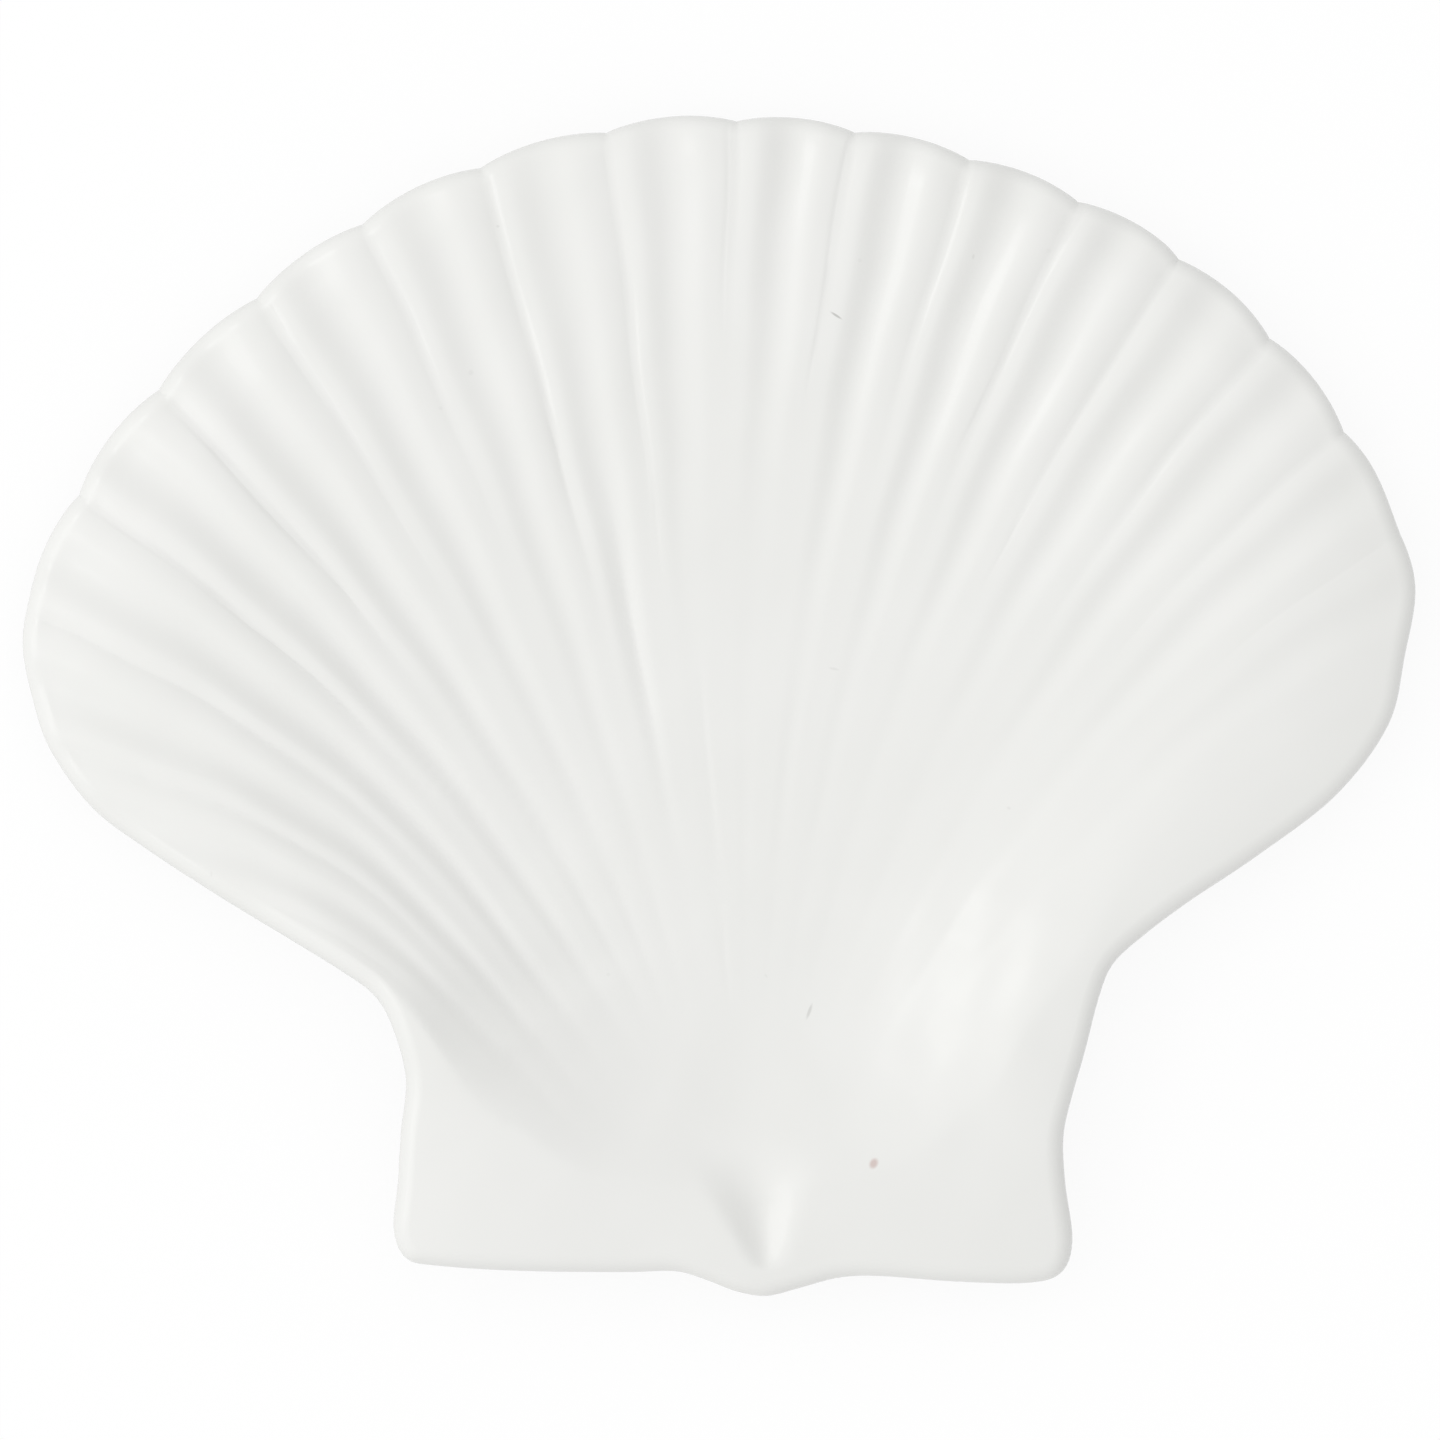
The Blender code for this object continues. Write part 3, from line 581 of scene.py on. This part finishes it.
    def rings(self):
        """All rings of points, from just off the centre of the upper face to the underside's."""
        bearing = self.spoke_bearings()
        edge_x, edge_y, out_x, out_y, out, up = self.edge_frame(bearing)
        outward, upward, left_over = self.round_profile(out, up)
        inset = outward.max(axis=0)
        rim_x, rim_y = edge_x - inset * out_x, edge_y - inset * out_y
        top = self.top_rings(rim_x, rim_y)
        flutes = self.flute_depth(rim_x, rim_y)
        drop = flutes * left_over - flutes
        edge = top[-1] + np.stack([outward * out_x, outward * out_y, upward - drop], axis=-1)
        return np.concatenate([top, edge, self.underside_rings(bearing, edge[-1])])

    def points(self):
        """Points of the shell in metres, fitted to the solid's box, and the number in a ring."""
        rings = self.rings()
        centre = np.array(DISH_CENTRE)
        below = np.array(self.foot_middle)
        top = np.append(centre, self.dish_height(*centre))
        bottom = np.append(below, self.under_height(*below))
        points = np.vstack([rings.reshape(-1, 3), top, bottom])
        low, high = points.min(axis=0), points.max(axis=0)
        cad_low, cad_high = (np.array(corner) for corner in CAD_BOX)
        return cad_low + (points - low) / (high - low) * (cad_high - cad_low), rings.shape[1]


def closed_mesh(name, points, count):
    """Mesh over rings of count points each, closed by a fan at each of the last two points.

    Ring i and spoke j make one four-sided face with ring i + 1 and spoke j + 1.
    """
    total = len(points) - 2
    ring = np.arange(total).reshape(-1, count)
    after = np.roll(ring, -1, axis=1)
    faces = np.stack([ring[:-1], ring[1:], after[1:], after[:-1]], axis=-1).reshape(-1, 4)
    top = np.column_stack([np.full(count, total), ring[0], after[0]])
    bottom = np.column_stack([np.full(count, total + 1), after[-1], ring[-1]])
    mesh = bpy.data.meshes.new(name)
    mesh.from_pydata(points.tolist(), [], faces.tolist() + top.tolist() + bottom.tolist())
    mesh.shade_smooth()
    mesh.set_sharp_from_angle(angle=np.radians(SHARP_ANGLE))
    return mesh


class Value:
    """A number socket of a shader tree; arithmetic on it adds Math nodes."""

    def __init__(self, tree, socket):
        self.tree = tree
        self.socket = socket

    def math(self, operation, *values):
        """The result of a Math node on some values."""
        node = self.tree.node("ShaderNodeMath", {"operation": operation}, dict(enumerate(values)))
        return Value(self.tree, node.outputs[0])

    def __add__(self, other):
        return self.math("ADD", self, other)

    def __sub__(self, other):
        return self.math("SUBTRACT", self, other)

    def __rsub__(self, other):
        return self.math("SUBTRACT", other, self)

    def __mul__(self, other):
        return self.math("MULTIPLY", self, other)

    def __truediv__(self, other):
        return self.math("DIVIDE", self, other)

    __radd__ = __add__
    __rmul__ = __mul__

    def highest(self, other):
        """The higher of the two."""
        return self.math("MAXIMUM", self, other)

    def eased(self, start, end):
        """0 at start and 1 at end, with a smooth way between."""
        settings = {"interpolation_type": "SMOOTHSTEP"}
        inputs = {"Value": self, "From Min": start, "From Max": end}
        return Value(self.tree, self.tree.node("ShaderNodeMapRange", settings, inputs).outputs[0])


class ShaderTree:
    """A node tree that starts empty, and the one method that adds nodes to it."""

    def __init__(self, owner):
        owner.use_nodes = True
        self.tree = owner.node_tree
        self.tree.nodes.clear()

    def node(self, kind, settings=None, inputs=None):
        """A node of a kind; settings are set first, then the values or links of its sockets."""
        node = self.tree.nodes.new(kind)
        for name, value in (settings or {}).items():
            setattr(node, name, value)
        for name, value in (inputs or {}).items():
            source = value.socket if isinstance(value, Value) else value
            if isinstance(source, bpy.types.NodeSocket):
                self.tree.links.new(source, node.inputs[name])
            else:
                node.inputs[name].default_value = source
        return node

    def position(self):
        """The place on the object, in metres."""
        return self.node("ShaderNodeTexCoord").outputs["Object"]

    def noise(self, vector, scale, detail=2.0):
        """Cloudy noise from 0 to 1 with features about 1 / scale metres wide."""
        inputs = {"Vector": vector, "Scale": scale, "Detail": detail}
        return Value(self, self.node("ShaderNodeTexNoise", None, inputs).outputs[0])

    def mix(self, factor, first, second):
        """One colour going over into another."""
        inputs = {0: factor, 6: first, 7: second}
        return self.node("ShaderNodeMix", {"data_type": "RGBA"}, inputs).outputs[2]

    def seen_ray(self):
        """1 for rays of the camera, of a mirror image or through glass, otherwise 0."""
        rays = self.node("ShaderNodeLightPath").outputs
        seen = Value(self, rays["Is Camera Ray"]).highest(Value(self, rays["Is Glossy Ray"]))
        return seen.highest(Value(self, rays["Is Transmission Ray"]))

    def height_of(self, vector):
        """The Z part of a vector."""
        return Value(self, self.node("ShaderNodeSeparateXYZ", None, {0: vector}).outputs[2])

    def spot(self, place, mark):
        """Darkness of one mark: whole in its middle and 0 beyond its half length and width."""
        x, y, half_length, half_width, turn, darkness = mark
        middle = ((x - PLAN_MIDDLE[0]) * MM, (y - PLAN_MIDDLE[1]) * MM, 0.0)
        inputs = {"Vector": place, "Location": middle, "Rotation": (0.0, 0.0, np.radians(turn)),
                  "Scale": (half_length * MM, half_width * MM, 1.0)}
        inside = self.node("ShaderNodeMapping", {"vector_type": "TEXTURE"}, inputs).outputs[0]
        shape = self.node("ShaderNodeTexGradient", {"gradient_type": "SPHERICAL"}, {0: inside})
        return Value(self, shape.outputs[1]).eased(0.0, 0.7) * darkness


def with_alpha(colour):
    """A colour as the four numbers that a colour socket takes."""
    return (*colour, 1.0)


def glaze_material(look):
    """Warm white glaze with faint clouds, a soft ripple and a bare, matt foot."""
    material = bpy.data.materials.new("white_glaze")
    tree = ShaderTree(material)
    place = tree.position()
    clouds = tree.noise(place, CLOUD_SCALE)
    ripple = tree.noise(place, RIPPLE_SCALE, 1.0)
    grain = tree.noise(place, GRAIN_SCALE)
    bare = 1.0 - tree.height_of(place).eased(*BARE_HEIGHTS)
    tone = tree.mix(clouds.eased(0.35, 0.65), with_alpha(look.glaze), with_alpha(look.deep_glaze))
    above = tree.height_of(tree.node("ShaderNodeTexCoord").outputs["Normal"]).eased(0.0, 0.3)
    dust = sum(tree.spot(place, mark) for mark in MARKS) * above
    tone = tree.mix(dust, tone, with_alpha(look.dust))
    tone = tree.mix(tree.spot(place, RUST_SPOT) * above, tone, with_alpha(look.rust))
    colour = tree.mix(bare, tone, with_alpha(look.biscuit))
    rough = look.roughness + 0.04 * (clouds - 0.5) + bare * (0.55 + 0.2 * (grain - 0.5))
    height = ripple * look.ripple + bare * grain * look.ripple
    bump = tree.node("ShaderNodeBump", None, {"Strength": 1.0, "Distance": 1.0, "Height": height})
    inputs = {"Base Color": colour, "Roughness": rough, "Normal": bump.outputs[0], "IOR": 1.5}
    shader = tree.node("ShaderNodeBsdfPrincipled", None, inputs)
    tree.node("ShaderNodeOutputMaterial", None, {"Surface": shader.outputs[0]})
    return material


def floor_material(studio):
    """Pale matt floor; to the camera it is nearly all plain white, with a trace of shadow."""
    material = bpy.data.materials.new("floor")
    tree = ShaderTree(material)
    seen = tree.seen_ray()
    colour = tree.mix(seen, with_alpha(studio.floor), (1.0, 1.0, 1.0, 1.0))
    pale = tree.node("ShaderNodeBsdfDiffuse", None, {"Color": colour})
    white = tree.node("ShaderNodeEmission", None, {"Strength": 1.0})
    inputs = {0: seen * studio.floor_white, 1: pale.outputs[0], 2: white.outputs[0]}
    shader = tree.node("ShaderNodeMixShader", None, inputs)
    tree.node("ShaderNodeOutputMaterial", None, {"Surface": shader.outputs[0]})
    return material


def light_world(studio):
    """Soft light from all round, which falls off from left to right; seen rays get white.

    Towards a direction with left part l it is 1 + tilt times l, and low on the right it is
    dimmed as by a dark wall there.
    """
    world = bpy.data.worlds.new("studio")
    tree = ShaderTree(world)
    direction = tree.node("ShaderNodeTexCoord").outputs["Generated"]
    rightward = Value(tree, tree.node("ShaderNodeSeparateXYZ", None, {0: direction}).outputs[0])
    light = 1.0 - rightward * studio.tilt
    light = light - rightward.eased(*DARK_SIDE) * studio.dark_right
    tone = tree.node("ShaderNodeCombineColor", None, {0: light, 1: light, 2: light}).outputs[0]
    soft = tree.node("ShaderNodeBackground", None, {"Color": tone, "Strength": studio.surround})
    white = tree.node("ShaderNodeBackground", None, {"Color": (1.0, 1.0, 1.0, 1.0)})
    inputs = {0: tree.seen_ray(), 1: soft.outputs[0], 2: white.outputs[0]}
    shader = tree.node("ShaderNodeMixShader", None, inputs)
    tree.node("ShaderNodeOutputWorld", None, {"Surface": shader.outputs[0]})
    bpy.context.scene.world = world


def link(scene_object):
    """Puts an object into the scene and returns it."""
    bpy.context.scene.collection.objects.link(scene_object)
    return scene_object


def add_softbox(name, aim, side, power):
    """Square lamp aimed at the middle of the platter, from a bearing and an angle over the floor."""
    turn, rise = np.radians(aim)
    towards = Vector((-np.sin(turn) * np.cos(rise), np.cos(turn) * np.cos(rise), np.sin(rise)))
    lamp = bpy.data.lights.new(name, "AREA")
    lamp.shape = "SQUARE"
    lamp.size = side
    lamp.energy = power
    box = link(bpy.data.objects.new(name, lamp))
    box.location = towards * LAMP_DISTANCE
    box.rotation_mode = "QUATERNION"
    box.rotation_quaternion = towards.to_track_quat("Z", "Y")
    return box


class ShellSizes(bpy.types.PropertyGroup):
    """Sizes of the platter."""

    wall: FloatProperty(
        name="Wall", description="Thickness of the wall", default=0.0055, unit="LENGTH")
    foot_height: FloatProperty(
        name="Foot height", description="Height of the foot under the floor", default=0.0025,
        unit="LENGTH")
    foot_width: FloatProperty(
        name="Foot width", description="Width of the foot's ring", default=0.005, unit="LENGTH")
    foot_draft: FloatProperty(
        name="Foot draft", description="Inward lean of each side of the foot", default=0.001,
        unit="LENGTH")
    foot_across: FloatProperty(
        name="Foot across", description="Size of the foot's oval along X", default=0.092,
        unit="LENGTH")
    foot_along: FloatProperty(
        name="Foot along", description="Size of the foot's oval along Y", default=0.104,
        unit="LENGTH")
    foot_forward: FloatProperty(
        name="Foot forward", description="Foot's middle ahead of the dish centre", default=0.02,
        unit="LENGTH")
    fan_radius: FloatProperty(
        name="Fan radius", description="Reach of the fan edge from the dish centre",
        default=0.1677, unit="LENGTH")
    lobe_rise: FloatProperty(
        name="Lobe rise", description="Bulge of each lobe of the edge", default=0.0016,
        unit="LENGTH")
    edge_radius: FloatProperty(
        name="Edge radius", description="Radius of the edge on its upper side", default=0.0042,
        unit="LENGTH")
    flute_share: FloatProperty(
        name="Flutes", description="Depth of the flutes as a share of the full depth",
        default=1.0, min=0.0, soft_max=1.5, subtype="FACTOR")
    hollow_depth: FloatProperty(
        name="Hollow depth", description="Depth of the hollow in the beak", default=0.0037,
        unit="LENGTH")


class GlazeLook(bpy.types.PropertyGroup):
    """Colours and gloss of the glaze."""

    glaze: FloatVectorProperty(
        name="Glaze", description="Colour of the glaze", subtype="COLOR", size=3, min=0.0,
        max=1.0, default=(0.86, 0.861, 0.841))
    deep_glaze: FloatVectorProperty(
        name="Deep glaze", description="Colour where the glaze lies thicker", subtype="COLOR",
        size=3, min=0.0, max=1.0, default=(0.85, 0.852, 0.83))
    dust: FloatVectorProperty(
        name="Dust", description="Colour of the specks and hairs", subtype="COLOR", size=3,
        min=0.0, max=1.0, default=(0.2, 0.2, 0.18))
    rust: FloatVectorProperty(
        name="Rust", description="Colour of the spot near the beak", subtype="COLOR", size=3,
        min=0.0, max=1.0, default=(0.41, 0.14, 0.1))
    biscuit: FloatVectorProperty(
        name="Biscuit", description="Colour of the bare foot", subtype="COLOR", size=3, min=0.0,
        max=1.0, default=(0.72, 0.70, 0.65))
    roughness: FloatProperty(
        name="Roughness", description="Roughness of the glaze", default=0.24, min=0.0, max=1.0,
        subtype="FACTOR")
    ripple: FloatProperty(
        name="Ripple", description="Height of the ripple in the glaze", default=0.00002,
        unit="LENGTH", precision=6)


class StudioSetup(bpy.types.PropertyGroup):
    """Floor, light and camera."""

    floor: FloatVectorProperty(
        name="Floor", description="Colour of the floor", subtype="COLOR", size=3, min=0.0,
        max=1.0, default=(0.62, 0.62, 0.62))
    floor_white: FloatProperty(
        name="Floor white", description="Share of plain white in the floor that the camera sees",
        default=0.9, min=0.0, max=1.0, subtype="FACTOR")
    surround: FloatProperty(
        name="Surround", description="Strength of the light from all round", default=0.914,
        min=0.0)
    tilt: FloatProperty(
        name="Tilt", description="How much stronger that light is from the left",
        default=0.22, min=0.0, max=1.0)
    dark_right: FloatProperty(
        name="Dark right", description="Loss of light low on the right", default=0.15, min=0.0,
        max=1.0)
    key_power: FloatProperty(
        name="Key power", description="Power of the lamp on the left", default=1.75, min=0.0,
        unit="POWER")
    key_size: FloatProperty(
        name="Key size", description="Side of the lamp on the left", default=0.8,
        unit="LENGTH")
    window_power: FloatProperty(
        name="Window power", description="Power of the smaller lamp at the upper left",
        default=0.8, min=0.0, unit="POWER")
    window_size: FloatProperty(
        name="Window size", description="Side of the smaller lamp at the upper left",
        default=0.35, unit="LENGTH")
    camera_height: FloatProperty(
        name="Camera height", description="Height of the camera over the floor", default=2.5,
        unit="LENGTH")
    frame_width: FloatProperty(
        name="Frame width", description="Width of the picture at the height of the edge",
        default=0.3091, unit="LENGTH")
    edge_height: FloatProperty(
        name="Edge height", description="Usual height of the platter's edge over the floor",
        default=0.012, unit="LENGTH")


class SHELL_OT_make_platter(bpy.types.Operator):
    """Make the glazed shell platter"""

    bl_idname = "shell.make_platter"
    bl_label = "Make platter"

    def execute(self, context):
        points, count = ShellForm(context.scene.shell_sizes).points()
        mesh = closed_mesh("shell_platter", points, count)
        mesh.materials.append(glaze_material(context.scene.glaze_look))
        platter = link(bpy.data.objects.new("shell_platter", mesh))
        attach(platter, "root")
        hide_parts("platter")
        return {"FINISHED"}


class SHELL_OT_make_stage(bpy.types.Operator):
    """Make the floor, the light and the camera"""

    bl_idname = "shell.make_stage"
    bl_label = "Make stage"

    def execute(self, context):
        studio = context.scene.studio_setup
        side = FLOOR_HALF_SIDE
        corners = [(-side, -side, 0.0), (side, -side, 0.0), (side, side, 0.0), (-side, side, 0.0)]
        mesh = bpy.data.meshes.new("floor")
        mesh.from_pydata(corners, [], [(0, 1, 2, 3)])
        mesh.materials.append(floor_material(studio))
        link(bpy.data.objects.new("floor", mesh))
        light_world(studio)
        add_softbox("key", KEY_AIM, studio.key_size, studio.key_power)
        add_softbox("window", WINDOW_AIM, studio.window_size, studio.window_power)
        self.place_camera(context, studio)
        return {"FINISHED"}

    def place_camera(self, context, studio):
        """Camera straight above the platter, which looks down with the fan edge at the top."""
        camera = bpy.data.cameras.new("camera")
        distance = studio.camera_height - studio.edge_height
        camera.lens = camera.sensor_width * distance / studio.frame_width
        camera.clip_end = CAMERA_SIGHT
        viewer = link(bpy.data.objects.new("camera", camera))
        viewer.location = (*CAMERA_PLACE, studio.camera_height)
        context.scene.camera = viewer
        context.scene.view_settings.view_transform = "Standard"


class SHELL_PT_panel(bpy.types.Panel):
    """Buttons and sizes of the shell platter"""

    bl_idname = "SHELL_PT_panel"
    bl_label = "Shell platter"
    bl_space_type = "VIEW_3D"
    bl_region_type = "UI"
    bl_category = "Shell platter"

    def draw(self, context):
        layout = self.layout
        for operator in OPERATORS:
            layout.operator(operator.bl_idname)
        for group in (context.scene.shell_sizes, context.scene.glaze_look,
                      context.scene.studio_setup):
            box = layout.box()
            for name in group.__annotations__:
                box.prop(group, name)


OPERATORS = (SHELL_OT_make_platter, SHELL_OT_make_stage)
CLASSES = (ShellSizes, GlazeLook, StudioSetup) + OPERATORS + (SHELL_PT_panel,)


def register():
    for each in CLASSES:
        bpy.utils.register_class(each)
    bpy.types.Scene.shell_sizes = PointerProperty(type=ShellSizes)
    bpy.types.Scene.glaze_look = PointerProperty(type=GlazeLook)
    bpy.types.Scene.studio_setup = PointerProperty(type=StudioSetup)


def unregister():
    del bpy.types.Scene.shell_sizes
    del bpy.types.Scene.glaze_look
    del bpy.types.Scene.studio_setup
    for each in reversed(CLASSES):
        bpy.utils.unregister_class(each)


def main():
    """Builds the platter and the stage."""
    register()
    bpy.ops.shell.make_platter()
    bpy.ops.shell.make_stage()


if __name__ == "__main__":
    main()
